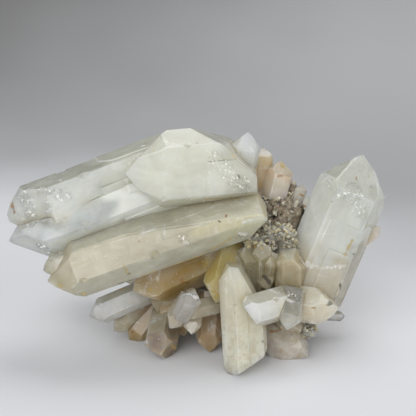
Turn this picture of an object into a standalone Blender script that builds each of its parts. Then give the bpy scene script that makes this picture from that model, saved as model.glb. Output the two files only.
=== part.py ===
"""Quartz crystal cluster: a natural group of quartz points grown from one root on a patch of rock.

Two pieces, in metres, +Z up, the photograph's right along +X and its viewer on the -Y side:
quartz_crystals, every crystal joined at the root as one solid, and matrix_rock, the host rock between them.
The cluster rests on the worn ends of its lowest crystals, which are flat on the plane z = 0.
"""

import math
import random
from collections import namedtuple

import bmesh
import bpy
from mathutils import Matrix, Vector, noise

MM = 0.001
TERMINAL_SLOPE = 38.2  # degrees between a quartz terminal face and the crystal's long axis
PRISM_SIDES = 6
GAP = 0.3  # mm left between the rock and the crystals that stand in it
SLIVER = 0.004  # mm, the shortest edge that is kept
FLOOR = (Vector((0, 0, 0)), Vector((0, 0, -1)))
CENTRE = Vector((0.77, -0.66, 0))  # the middle of the cluster seen from above, which becomes the origin

# Every place below is in millimetres. A crystal runs from root to tip.
# across and deep are half its width seen from the front and half its depth, turn rolls it about its axis.
# caps says how far each of its six terminal faces is set back from the tip, in half widths.
# breaks are planes, a point and an outward direction each, where the crystal is broken off or worn.
EVEN = (0, -0.3) * 3
Crystal = namedtuple("Crystal", "name tip root across deep turn caps breaks", defaults=(EVEN, ()))
BLUNT = (0.8, 0.3, 0.9, 0.25, 0.7, 0.4)

LARGE = (
    Crystal("great_left", (-71, -17, 52), (-6, 2, 71.5), 12.4, 12, 27, (0, -0.7, -0.7, -0.3, 0, -0.3)),
    Crystal("great_low", (-72, -24, 43.5), (4, -8, 69.5), 8.4, 9, 39, (-0.45, -0.6, -0.45, 0.4, 0.6, 0.4)),
    Crystal("upper_middle", (-27, -22, 75), (27, -4, 74), 15, 10, 8, EVEN,
            (((-1, -10, 90), (0.4, 0.1, 0.9)), ((17.3, -10, 79), (0.716, 0, 0.698)),
             ((24.5, -12, 66), (1, 0, 0.05)))),
    Crystal("fore_left", (-57.5, -34, 35.5), (31, -18, 63), 10, 9, 24, (0, 0.1, 0, -0.3, 0, -0.3),
            (((4, -20, 61), (-0.1, -0.2, 1)), ((26, -18, 61.5), (0.8, 0, 0.6)),
             ((26, -18, 55.5), (0.8, 0, -0.6)))),
    Crystal("right_point", (69, 2, 74), (46, -12, 20), 13, 12, -3, (0, -0.3, 0, -0.3, -0.2, -0.3)),
    Crystal("front_post", (21, -45, -14), (17.5, -25, 42), 8.3, 6, -15, EVEN,
            (((13.5, -45, -0.3), (0.47, 0, -0.88)), ((12, -44, 0.5), (-0.8, 0, -0.6)),
             ((15, -28, 39.5), (0.1, 0.2, 0.97)), ((20, -30, 34.5), (0.86, 0, 0.5)),
             ((12, -30, 38), (-0.85, 0, 0.5)))),
    Crystal("under_left", (-25, -22, 26), (20, -8, 42), 9, 8, 20),
)
SMALL = (
    Crystal("peak_white", (20.9, -5, 87), (16, -6, 62), 5.7, 5.5, 10),
    Crystal("peak_amber", (28.5, 12, 78), (27, 4, 57), 3.5, 3, 0, BLUNT),
    Crystal("peak_peach", (36.5, 10, 75), (31, 2, 53), 5.8, 5, 15, BLUNT),
    Crystal("peak_tiny", (44, 1, 63), (36, 0, 42), 2.3, 2, 0),
    Crystal("clear_small", (-42.5, -24, 15.5), (-18, -12, 22), 4.8, 4.5, 20),
    Crystal("fore_edge", (-59, -31, 38.5), (-20, -24, 50), 4.5, 4, 24),
    Crystal("right_spur", (75.5, -3, 46), (64, -6, 38), 3, 2.6, 0),
    Crystal("low_left", (-34, -14, 4), (-16, -4, 18), 4, 4, 0),
    Crystal("low_left_foot", (-27, -14, -1.5), (-12, -4, 17), 4.5, 4, 20),
    Crystal("broad_low", (-4, -24, -1), (-9, -6, 22), 8.5, 8, 12, BLUNT),
    Crystal("broad_left", (-17, -20, 6), (-6, -6, 30), 8, 7, 12, BLUNT),
    Crystal("block", (-15, -39, 1), (-12, -14, 10), 6.3, 6, 20, BLUNT),
    Crystal("arm", (-5, -36, 23), (13, -20, 20), 3.6, 3.5, 0),
    Crystal("knuckle", (1.5, -39, 36), (-5, -33, 20), 3.8, 3.8, 0, BLUNT),
    Crystal("knuckle_left", (-10, -34, 15), (-2, -26, 25), 3.8, 3.5, 0),
    Crystal("knuckle_down", (-1.5, -38, 14.5), (0, -24, 21), 3.2, 3, 0),
    Crystal("shoulder", (8, -30, 24), (14, -12, 42), 6, 6, 0),
    Crystal("brown_post", (5, -28, -3), (7, -12, 20), 5, 5, 10, BLUNT),
    Crystal("right_left", (15.5, -44, 25), (41, -22, 22.5), 6, 5.8, 20, EVEN,
            (((20.8, -38, 25.5), (-0.81, 0, -0.59)),)),
    Crystal("right_right", (57, -28, 21), (36, -20, 20.5), 7.4, 6.5, 10),
    Crystal("right_clear", (35.5, -40, 17), (38.5, -26, 27), 4.8, 4, 0),
    Crystal("low_right", (50, -34, -1.5), (16, -14, 14), 7.4, 6.5, 20, BLUNT),
    Crystal("low_right_back", (45, -33, 10.5), (30, -16, 13), 5.5, 5, 20, BLUNT),
    Crystal("sliver", (62, -8, 8), (32, -14, 12), 2.2, 1.8, 0),
    Crystal("dome", (37.5, -23, 49), (38.5, -18, 22), 5.8, 5, 0, EVEN,
            (((37, -23, 41.4), (-0.05, -0.1, 1)), ((40.5, -23, 39.5), (0.75, -0.2, 0.6)),
             ((34, -23, 40), (-0.7, -0.2, 0.7)))),
    Crystal("druse_left", (16.2, -22, 44.5), (23, -13, 22), 4, 4, 20, BLUNT),
    Crystal("druse_grey", (20.2, -22.5, 49), (24.5, -13, 22), 4.4, 4.4, 5, BLUNT),
    Crystal("druse_middle", (25.5, -23, 50.5), (26, -13, 22), 4.5, 4.4, 32, BLUNT),
    Crystal("druse_right", (31, -22, 45.5), (28, -13, 22), 4.2, 4, 50, BLUNT),
    Crystal("druse_low", (29, -22, 26), (27, -8, 38), 5, 5, 10),
    Crystal("druse_yellow", (37, -10, 49), (34, -12, 32), 4, 4, 10),
)
BEHIND = (
    Crystal("back_left", (-50, 32, 42), (10, 8, 46), 10, 9, 10),
    Crystal("back_left_low", (-36, 30, 12), (6, 8, 34), 7, 7, 25),
    Crystal("back_middle", (-14, 45, 48), (12, 10, 42), 8, 8, 5),
    Crystal("back_foot_left", (-2, 44, -3), (14, 12, 30), 8, 8, 15),
    Crystal("back_right", (54, 40, 38), (26, 10, 38), 8, 8, 10),
    Crystal("back_foot_right", (46, 36, -3), (24, 10, 28), 8, 7, 0),
    Crystal("back_up", (22, 42, 60), (18, 10, 44), 6, 6, 20),
    Crystal("back_small", (22, 46, 22), (18, 12, 30), 5, 5, 0),
    Crystal("foot_left", (-22, 14, -3), (4, 2, 28), 7, 7, 15),
)

# Growth layers that cover part of a prism face from the root on and end in a step: crystal, face,
# how far along the length they reach, rise in mm, how much of the face they leave bare, and on which side.
Layer = namedtuple("Layer", "crystal face reach rise bare side")
LAYERS = (
    Layer("great_left", 0, 0.72, 0.8, 0.25, 1),
    Layer("great_left", 1, 0.55, 0.5, 0.10, -1),
    Layer("great_low", 0, 0.47, 0.7, 0.30, -1),
    Layer("great_low", 5, 0.62, 0.55, 0.15, 1),
    Layer("upper_middle", 0, 0.70, 0.9, 0.20, 1),
    Layer("upper_middle", 0, 0.36, 1.7, 0.35, -1),
    Layer("fore_left", 0, 0.62, 0.7, 0.20, -1),
    Layer("fore_left", 1, 0.76, 0.6, 0.20, 1),
    Layer("fore_left", 0, 0.30, 1.3, 0.45, 1),
    Layer("right_point", 0, 0.62, 0.8, 0.20, -1),
    Layer("right_point", 1, 0.80, 0.9, 0.15, 1),
    Layer("right_point", 5, 0.48, 0.8, 0.20, 1),
    Layer("front_post", 0, 0.96, 0.5, 0.30, -1),
    Layer("front_post", 0, 0.30, 1.0, 0.20, 1),
    Layer("under_left", 0, 0.60, 0.7, 0.20, 1),
    Layer("back_left", 3, 0.60, 0.8, 0.20, 1),
    Layer("back_middle", 0, 0.60, 0.8, 0.20, 1),
)

# Chipped edges: crystal, the face before the edge, how far along the length, size in mm of the lost flake.
Chip = namedtuple("Chip", "crystal face along size")
CHIPS = (
    Chip("great_left", 1, 0.66, 3.5), Chip("great_left", 0, 0.55, 2.5), Chip("great_low", 5, 0.62, 3),
    Chip("great_low", 0, 0.86, 2.5), Chip("upper_middle", 0, 0.60, 3), Chip("upper_middle", 5, 0.80, 3.5),
    Chip("fore_left", 0, 0.45, 2.2), Chip("fore_left", 5, 0.55, 3), Chip("fore_left", 5, 0.85, 2.2),
    Chip("right_point", 5, 0.66, 2.6), Chip("right_point", 0, 0.40, 2.6), Chip("right_point", 1, 0.55, 3.5),
    Chip("front_post", 0, 0.30, 2), Chip("front_post", 5, 0.55, 2.2), Chip("right_left", 0, 0.5, 1.6),
    Chip("right_right", 0, 0.5, 1.6), Chip("clear_small", 0, 0.5, 1.4), Chip("back_left", 3, 0.6, 3),
    Chip("back_middle", 1, 0.5, 2.5),
)

# Patches of small crystals: centre, direction they point, spread, number, length, half width.
Patch = namedtuple("Patch", "centre towards spread number length thick")
PATCHES = (
    Patch((23, -20, 46), (-0.1, -0.3, 1.0), 4.5, 5, 2.5, 2.0),
    Patch((32.5, -12, 48), (0.0, -0.7, 0.7), 3.5, 5, 3.5, 2.4),
    Patch((35, 4, 55), (0.2, -0.3, 1.0), 5, 5, 4.5, 1.5),
    Patch((40, -18, 12), (0.5, -0.8, -0.3), 5, 5, 6, 1.8),
    Patch((4, 16, 28), (-0.4, 0.8, -0.2), 8, 6, 8, 2.4),
    Patch((0, 12, 50), (-0.5, 0.8, 0.3), 8, 6, 8, 2.4),
)

CORE_CENTRE, CORE_SIZE = Vector((14, 0, 38)), Vector((24, 19, 20))
# Each lump of host rock: its middle, its half widths, and how finely it is faceted.
ROCK_LUMPS = (
    (Vector((32, 6, 48)), Vector((15, 15, 14)), 3),
    (Vector((22, 20, 34)), Vector((22, 16, 22)), 3),
    (Vector((38, -4, 17)), Vector((9, 20, 14)), 2),
)


def clip(solid, point, normal):
    """Cuts away what lies beyond a plane and closes the cut with one flat face."""
    geometry = solid.verts[:] + solid.edges[:] + solid.faces[:]
    bmesh.ops.bisect_plane(solid, geom=geometry, plane_co=point, plane_no=normal, clear_outer=True)
    rim = [edge for edge in solid.edges if edge.is_boundary]
    if rim:
        bmesh.ops.edgeloop_fill(solid, edges=rim)


def crystal_axes(spec):
    """The crystal's long axis, and the directions that face the viewer and lie across the view."""
    long_axis = (Vector(spec.tip) - Vector(spec.root)).normalized()
    towards = Vector((0, -1, 0)) if abs(long_axis.y) < 0.9 else Vector((0, 0, 1))
    front = (towards - long_axis * towards.dot(long_axis)).normalized()
    return long_axis, front, long_axis.cross(front)


def prism_face(spec, number):
    """The outward direction of one prism face, and how far it is from the crystal's axis."""
    long_axis, front, side = crystal_axes(spec)
    angle = math.radians(spec.turn + 60 * number)
    outward = front * math.cos(angle) + side * math.sin(angle)
    return outward, math.hypot(spec.deep * math.cos(angle), spec.across * math.sin(angle))


def crystal_solid(spec, grow=0.0, layer=None):
    """A hexagonal prism with six terminal faces, cut from a block by planes, each moved out by grow.

    With a layer it is that growth layer instead: a shorter crystal that stands out on one prism face only.
    """
    long_axis, front, side = crystal_axes(spec)
    tip, root = Vector(spec.tip), Vector(spec.root)
    if layer:
        root, tip = root.lerp(tip, 0.03 + 0.05 * layer.reach), root.lerp(tip, layer.reach)
    length = (tip - root).length
    middle = (tip + root) / 2
    frame = Matrix((side, front, long_axis)).transposed().to_4x4()
    solid = bmesh.new()
    bmesh.ops.create_cube(solid, size=4 * length, matrix=Matrix.Translation(middle) @ frame)
    clip(solid, root - long_axis * grow, -long_axis)
    slope = math.radians(TERMINAL_SLOPE)
    for number in range(PRISM_SIDES):
        outward, reach = prism_face(spec, number)
        if layer:
            step = (number - layer.face) % PRISM_SIDES
            if step == 0:
                reach += layer.rise
            elif step == layer.side % PRISM_SIDES:
                reach *= 1 - 2 * layer.bare
            elif step == -layer.side % PRISM_SIDES:
                reach += layer.rise * 0.3
            else:
                reach *= 0.8 + 0.1 * layer.reach
        clip(solid, root + outward * (reach + grow), outward)
        cap_normal = outward * math.cos(slope) + long_axis * math.sin(slope)
        set_back = tip - long_axis * spec.caps[number] * spec.across
        clip(solid, set_back + cap_normal * grow, cap_normal)
    short = 0.25 + 0.3 * layer.rise if layer else 0
    for point, direction in spec.breaks:
        normal = Vector(direction).normalized()
        clip(solid, Vector(point) + normal * (grow - short), normal)
    clip(solid, *FLOOR)
    return solid


def edge_point(spec, number, along, outside):
    """A place by the edge between two prism faces, part of the way from root to tip, a little outside it."""
    long_axis = crystal_axes(spec)[0]
    first, reach_first = prism_face(spec, number)
    second, reach_second = prism_face(spec, number + 1)
    mix = first.dot(second)
    on_first = (reach_first - mix * reach_second) / (1 - mix * mix)
    on_second = (reach_second - mix * reach_first) / (1 - mix * mix)
    on_axis = Vector(spec.root).lerp(Vector(spec.tip), along)
    return on_axis + (first * on_first + second * on_second) * (1 + outside)


def patch_crystals(patch, seed):
    """Small crystals that fan out from one patch of the root."""
    chance = random.Random(seed)
    made = []
    for number in range(patch.number):
        lean = Vector([chance.uniform(-1, 1) for _ in range(3)])
        towards = (Vector(patch.towards).normalized() + lean * 0.55).normalized()
        foot = Vector(patch.centre) + Vector([chance.uniform(-1, 1) for _ in range(3)]) * patch.spread
        length = patch.length * chance.uniform(0.7, 1.3)
        thick = patch.thick * chance.uniform(0.7, 1.3)
        root = foot - towards * length
        made.append(Crystal(f"druse_{seed}_{number}", tuple(foot + towards * length), tuple(root),
                            thick, thick, chance.uniform(0, 60)))
    return made


def lump(centre, size, roughness, fineness, seed, grow=0.0):
    """A rough rounded mass: a ball stretched to size, with noise on its surface."""
    solid = bmesh.new()
    bmesh.ops.create_icosphere(solid, subdivisions=fineness, radius=1)
    shift = Vector((seed * 7.3, seed * 3.1, seed * 5.7))
    for vert in solid.verts:
        direction = vert.co.normalized()
        place = Vector(a * b for a, b in zip(direction, size))
        rough = noise.fractal(place * 0.12 + shift, 0.8, 2.1, 4) * roughness
        vert.co = centre + place + direction * (rough + grow)
    clip(solid, *FLOOR)
    return solid


def add_object(name, solid):
    """Puts a bmesh solid, modelled in millimetres, into the scene in metres."""
    bmesh.ops.triangulate(solid, faces=solid.faces)
    bmesh.ops.recalc_face_normals(solid, faces=solid.faces)
    bmesh.ops.transform(solid, matrix=Matrix.Scale(MM, 4) @ Matrix.Translation(-CENTRE), verts=solid.verts)
    mesh = bpy.data.meshes.new(name)
    solid.to_mesh(mesh)
    solid.free()
    made = bpy.data.objects.new(name, mesh)
    bpy.context.scene.collection.objects.link(made)
    return made


def combine(target, others, operation):
    """Joins the others to target, or cuts them from it, with one exact Boolean, and removes them."""
    group = bpy.data.collections.new(f"{target.name}_{operation.lower()}")
    for other in others:
        group.objects.link(other)
    step = target.modifiers.new(operation.title(), "BOOLEAN")
    step.solver, step.operation = "EXACT", operation
    step.operand_type, step.collection = "COLLECTION", group
    step.use_self = False
    shape = target.evaluated_get(bpy.context.evaluated_depsgraph_get())
    result = bpy.data.meshes.new_from_object(shape)
    target.modifiers.remove(step)
    target.data = result
    for other in others:
        bpy.data.objects.remove(other)
    bpy.data.collections.remove(group)


def whole_crystal(spec):
    """One crystal with its growth layers added and its chips taken off."""
    made = add_object(spec.name, crystal_solid(spec))
    layers = [add_object(f"{spec.name}_layer", crystal_solid(spec, 0, layer)) for layer in LAYERS
              if layer.crystal == spec.name]
    if layers:
        combine(made, layers, "UNION")
    flakes = []
    for number, chip in enumerate(CHIPS):
        if chip.crystal == spec.name:
            place = edge_point(spec, chip.face, chip.along, 0.1)
            flake = lump(place, Vector((chip.size,) * 3), 1.2, 1, number)
            flakes.append(add_object(f"{spec.name}_flake", flake))
    if flakes:
        combine(made, flakes, "DIFFERENCE")
    return made


def keep_main_body(target):
    """Leaves only the largest connected body of the mesh, in triangles and without slivers."""
    solid = bmesh.new()
    solid.from_mesh(target.data)
    bmesh.ops.triangulate(solid, faces=solid.faces)
    bmesh.ops.dissolve_degenerate(solid, edges=solid.edges, dist=SLIVER * MM)
    bmesh.ops.triangulate(solid, faces=solid.faces)
    waiting, bodies = set(solid.verts), []
    while waiting:
        start = waiting.pop()
        body, to_visit = {start}, [start]
        while to_visit:
            for edge in to_visit.pop().link_edges:
                for other in edge.verts:
                    if other in waiting:
                        waiting.discard(other)
                        body.add(other)
                        to_visit.append(other)
        bodies.append(body)
    bodies.sort(key=len)
    for body in bodies[:-1]:
        bmesh.ops.delete(solid, geom=list(body), context="VERTS")
    bmesh.ops.recalc_face_normals(solid, faces=solid.faces)
    solid.to_mesh(target.data)
    solid.free()


def surface(name, colour, roughness, transmission=0.0):
    """A plain Principled material of the piece's own colour."""
    made = bpy.data.materials.new(name)
    made.use_nodes = True
    principled = made.node_tree.nodes["Principled BSDF"]
    principled.inputs["Base Color"].default_value = (*colour, 1)
    principled.inputs["Roughness"].default_value = roughness
    principled.inputs["Metallic"].default_value = 0.0
    principled.inputs["Transmission Weight"].default_value = transmission
    principled.inputs["IOR"].default_value = 1.544 if transmission else 1.5
    made.diffuse_color = (*colour, 1)
    return made


def main():
    for old in list(bpy.data.objects):
        bpy.data.objects.remove(old)
    specs = list(LARGE + SMALL + BEHIND)
    for seed, patch in enumerate(PATCHES, 11):
        specs += patch_crystals(patch, seed)

    crystals = add_object("quartz_crystals", lump(CORE_CENTRE, CORE_SIZE, 4.0, 2, 1))
    combine(crystals, [whole_crystal(spec) for spec in specs], "UNION")
    keep_main_body(crystals)
    crystals.data.materials.clear()
    crystals.data.materials.append(surface("quartz", (0.72, 0.70, 0.62), 0.12, 0.7))

    lumps = [add_object("matrix_rock", lump(middle, size, 5.0, fineness, number))
             for number, (middle, size, fineness) in enumerate(ROCK_LUMPS, 2)]
    rock, *more = lumps
    combine(rock, more, "UNION")
    cutters = [add_object("core", lump(CORE_CENTRE, CORE_SIZE, 4.0, 2, 1, GAP + 0.1))]
    cutters += [add_object(f"{spec.name}_room", crystal_solid(spec, GAP)) for spec in specs]
    combine(rock, cutters, "DIFFERENCE")
    keep_main_body(rock)
    rock.data.materials.clear()
    rock.data.materials.append(surface("rock", (0.20, 0.16, 0.12), 0.85))


main()
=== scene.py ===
import math
import random
from collections import namedtuple

import bmesh
import bpy
import numpy as np
from mathutils import Matrix, Vector, noise
from mathutils.bvhtree import BVHTree
from mathutils.kdtree import KDTree


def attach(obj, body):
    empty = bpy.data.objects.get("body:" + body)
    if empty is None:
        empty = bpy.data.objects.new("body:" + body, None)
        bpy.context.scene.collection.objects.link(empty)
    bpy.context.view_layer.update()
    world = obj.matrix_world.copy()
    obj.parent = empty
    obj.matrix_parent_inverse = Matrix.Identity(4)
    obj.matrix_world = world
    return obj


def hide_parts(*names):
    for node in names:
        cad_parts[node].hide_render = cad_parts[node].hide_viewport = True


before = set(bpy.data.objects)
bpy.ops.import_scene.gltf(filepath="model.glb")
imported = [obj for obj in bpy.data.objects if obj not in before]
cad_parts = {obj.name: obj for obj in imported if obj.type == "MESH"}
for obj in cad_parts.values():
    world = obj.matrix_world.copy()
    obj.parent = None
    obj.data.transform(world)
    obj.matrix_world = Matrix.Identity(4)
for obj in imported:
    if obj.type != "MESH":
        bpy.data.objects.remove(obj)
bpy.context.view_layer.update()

# A quartz crystal cluster on a pale paper sweep. Places of crystals are in millimetres from the floor plane,
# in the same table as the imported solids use. Colours are linear.
MM = 0.001
TERMINAL_SLOPE = 38.2  # degrees between a quartz terminal face and the crystal's long axis
PRISM_SIDES = 6
FLOOR = (Vector((0, 0, 0)), Vector((0, 0, -1)))
CENTRE = Vector((0.77, -0.66, 0))
QUARTZ_IOR = 1.544
SHARP_EDGE = 0.35  # radians
EDGE_FADE = 0.0022  # metres over which wear at an edge dies away
FINEST_ANYWHERE = (0.024, 0.012, 0.006, 0.0036)  # longest mesh edges left by each round, in metres
FINEST_BY_MARKS = (0.0015, 0.0008, 0.0006)
ROCK_GRAIN = 0.0008
DEEPEST_HOLLOW = 3.6


def table(kind, *rows):
    return tuple(kind(*row) for row in rows)


Crystal = namedtuple("Crystal", "name tip root across deep turn caps breaks", defaults=((0, -0.3) * 3, ()))
EVEN = (0, -0.3) * 3
BLUNT = (0.8, 0.3, 0.9, 0.25, 0.7, 0.4)

LARGE = table(
    Crystal,
    ("great_left", (-71, -17, 52), (-6, 2, 71.5), 12.4, 12, 27, (0, -0.7, -0.7, -0.3, 0, -0.3)),
    ("great_low", (-72, -24, 43.5), (4, -8, 69.5), 8.4, 9, 39, (-0.45, -0.6, -0.45, 0.4, 0.6, 0.4)),
    ("upper_middle", (-27, -22, 75), (27, -4, 74), 15, 10, 8, EVEN,
     (((-1, -10, 90), (0.4, 0.1, 0.9)), ((17.3, -10, 79), (0.716, 0, 0.698)),
      ((24.5, -12, 66), (1, 0, 0.05)))),
    ("fore_left", (-57.5, -34, 35.5), (31, -18, 63), 10, 9, 24, (0, 0.1, 0, -0.3, 0, -0.3),
     (((4, -20, 61), (-0.1, -0.2, 1)), ((26, -18, 61.5), (0.8, 0, 0.6)),
      ((26, -18, 55.5), (0.8, 0, -0.6)))),
    ("right_point", (69, 2, 74), (46, -12, 20), 13, 12, -3, (0, -0.3, 0, -0.3, -0.2, -0.3)),
    ("front_post", (21, -45, -14), (17.5, -25, 42), 8.3, 6, -15, EVEN,
     (((13.5, -45, -0.3), (0.47, 0, -0.88)), ((12, -44, 0.5), (-0.8, 0, -0.6)),
      ((15, -28, 39.5), (0.1, 0.2, 0.97)), ((20, -30, 34.5), (0.86, 0, 0.5)),
      ((12, -30, 38), (-0.85, 0, 0.5)))),
    ("under_left", (-25, -22, 26), (20, -8, 42), 9, 8, 20),
)
SMALL = table(
    Crystal,
    ("peak_white", (20.9, -5, 87), (16, -6, 62), 5.7, 5.5, 10),
    ("peak_amber", (28.5, 12, 78), (27, 4, 57), 3.5, 3, 0, BLUNT),
    ("peak_peach", (36.5, 10, 75), (31, 2, 53), 5.8, 5, 15, BLUNT),
    ("peak_tiny", (44, 1, 63), (36, 0, 42), 2.3, 2, 0),
    ("clear_small", (-42.5, -24, 15.5), (-18, -12, 22), 4.8, 4.5, 20),
    ("fore_edge", (-59, -31, 38.5), (-20, -24, 50), 4.5, 4, 24),
    ("right_spur", (75.5, -3, 46), (64, -6, 38), 3, 2.6, 0),
    ("low_left", (-34, -14, 4), (-16, -4, 18), 4, 4, 0),
    ("low_left_foot", (-27, -14, -1.5), (-12, -4, 17), 4.5, 4, 20),
    ("broad_low", (-4, -24, -1), (-9, -6, 22), 8.5, 8, 12, BLUNT),
    ("broad_left", (-17, -20, 6), (-6, -6, 30), 8, 7, 12, BLUNT),
    ("block", (-15, -39, 1), (-12, -14, 10), 6.3, 6, 20, BLUNT),
    ("arm", (-5, -36, 23), (13, -20, 20), 3.6, 3.5, 0),
    ("knuckle", (1.5, -39, 36), (-5, -33, 20), 3.8, 3.8, 0, BLUNT),
    ("knuckle_left", (-10, -34, 15), (-2, -26, 25), 3.8, 3.5, 0),
    ("knuckle_down", (-1.5, -38, 14.5), (0, -24, 21), 3.2, 3, 0),
    ("shoulder", (8, -30, 24), (14, -12, 42), 6, 6, 0),
    ("brown_post", (5, -28, -3), (7, -12, 20), 5, 5, 10, BLUNT),
    ("right_left", (15.5, -44, 25), (41, -22, 22.5), 6, 5.8, 20, EVEN,
     (((20.8, -38, 25.5), (-0.81, 0, -0.59)),)),
    ("right_right", (57, -28, 21), (36, -20, 20.5), 7.4, 6.5, 10),
    ("right_clear", (35.5, -40, 17), (38.5, -26, 27), 4.8, 4, 0),
    ("low_right", (50, -34, -1.5), (16, -14, 14), 7.4, 6.5, 20, BLUNT),
    ("low_right_back", (45, -33, 10.5), (30, -16, 13), 5.5, 5, 20, BLUNT),
    ("sliver", (62, -8, 8), (32, -14, 12), 2.2, 1.8, 0),
    ("dome", (37.5, -23, 49), (38.5, -18, 22), 5.8, 5, 0, EVEN,
     (((37, -23, 41.4), (-0.05, -0.1, 1)), ((40.5, -23, 39.5), (0.75, -0.2, 0.6)),
      ((34, -23, 40), (-0.7, -0.2, 0.7)))),
    ("druse_left", (16.2, -22, 44.5), (23, -13, 22), 4, 4, 20, BLUNT),
    ("druse_grey", (20.2, -22.5, 49), (24.5, -13, 22), 4.4, 4.4, 5, BLUNT),
    ("druse_middle", (25.5, -23, 50.5), (26, -13, 22), 4.5, 4.4, 32, BLUNT),
    ("druse_right", (31, -22, 45.5), (28, -13, 22), 4.2, 4, 50, BLUNT),
    ("druse_low", (29, -22, 26), (27, -8, 38), 5, 5, 10),
    ("druse_yellow", (37, -10, 49), (34, -12, 32), 4, 4, 10),
)
BEHIND = table(
    Crystal,
    ("back_left", (-50, 32, 42), (10, 8, 46), 10, 9, 10),
    ("back_left_low", (-36, 30, 12), (6, 8, 34), 7, 7, 25),
    ("back_middle", (-14, 45, 48), (12, 10, 42), 8, 8, 5),
    ("back_foot_left", (-2, 44, -3), (14, 12, 30), 8, 8, 15),
    ("back_right", (54, 40, 38), (26, 10, 38), 8, 8, 10),
    ("back_foot_right", (46, 36, -3), (24, 10, 28), 8, 7, 0),
    ("back_up", (22, 42, 60), (18, 10, 44), 6, 6, 20),
    ("back_small", (22, 46, 22), (18, 12, 30), 5, 5, 0),
    ("foot_left", (-22, 14, -3), (4, 2, 28), 7, 7, 15),
)

Layer = namedtuple("Layer", "crystal face reach rise bare side")
LAYERS = table(
    Layer,
    ("great_left", 0, 0.72, 0.8, 0.25, 1), ("great_left", 1, 0.55, 0.5, 0.10, -1),
    ("great_low", 0, 0.47, 0.7, 0.30, -1), ("great_low", 5, 0.62, 0.55, 0.15, 1),
    ("upper_middle", 0, 0.70, 0.9, 0.20, 1), ("upper_middle", 0, 0.36, 1.7, 0.35, -1),
    ("fore_left", 0, 0.62, 0.7, 0.20, -1), ("fore_left", 1, 0.76, 0.6, 0.20, 1),
    ("fore_left", 0, 0.30, 1.3, 0.45, 1), ("right_point", 0, 0.62, 0.8, 0.20, -1),
    ("right_point", 1, 0.80, 0.9, 0.15, 1), ("right_point", 5, 0.48, 0.8, 0.20, 1),
    ("front_post", 0, 0.96, 0.5, 0.30, -1), ("front_post", 0, 0.30, 1.0, 0.20, 1),
    ("under_left", 0, 0.60, 0.7, 0.20, 1), ("back_left", 3, 0.60, 0.8, 0.20, 1),
    ("back_middle", 0, 0.60, 0.8, 0.20, 1),
)
Chip = namedtuple("Chip", "crystal face along size")
CHIPS = table(
    Chip,
    ("great_left", 1, 0.66, 3.5), ("great_left", 0, 0.55, 2.5), ("great_low", 5, 0.62, 3),
    ("great_low", 0, 0.86, 2.5), ("upper_middle", 0, 0.60, 3), ("upper_middle", 5, 0.80, 3.5),
    ("fore_left", 0, 0.45, 2.2), ("fore_left", 5, 0.55, 3), ("fore_left", 5, 0.85, 2.2),
    ("right_point", 5, 0.66, 2.6), ("right_point", 0, 0.40, 2.6), ("right_point", 1, 0.55, 3.5),
    ("front_post", 0, 0.30, 2), ("front_post", 5, 0.55, 2.2), ("right_left", 0, 0.5, 1.6),
    ("right_right", 0, 0.5, 1.6), ("clear_small", 0, 0.5, 1.4), ("back_left", 3, 0.6, 3),
    ("back_middle", 1, 0.5, 2.5),
)
Patch = namedtuple("Patch", "centre towards spread number length thick")
PATCHES = table(
    Patch,
    ((23, -20, 46), (-0.1, -0.3, 1.0), 4.5, 5, 2.5, 2.0),
    ((32.5, -12, 48), (0.0, -0.7, 0.7), 3.5, 5, 3.5, 2.4),
    ((35, 4, 55), (0.2, -0.3, 1.0), 5, 5, 4.5, 1.5),
    ((40, -18, 12), (0.5, -0.8, -0.3), 5, 5, 6, 1.8),
    ((4, 16, 28), (-0.4, 0.8, -0.2), 8, 6, 8, 2.4),
    ((0, 12, 50), (-0.5, 0.8, 0.3), 8, 6, 8, 2.4),
)
CORE_CENTRE, CORE_SIZE = Vector((14, 0, 38)), Vector((24, 19, 20))

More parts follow.
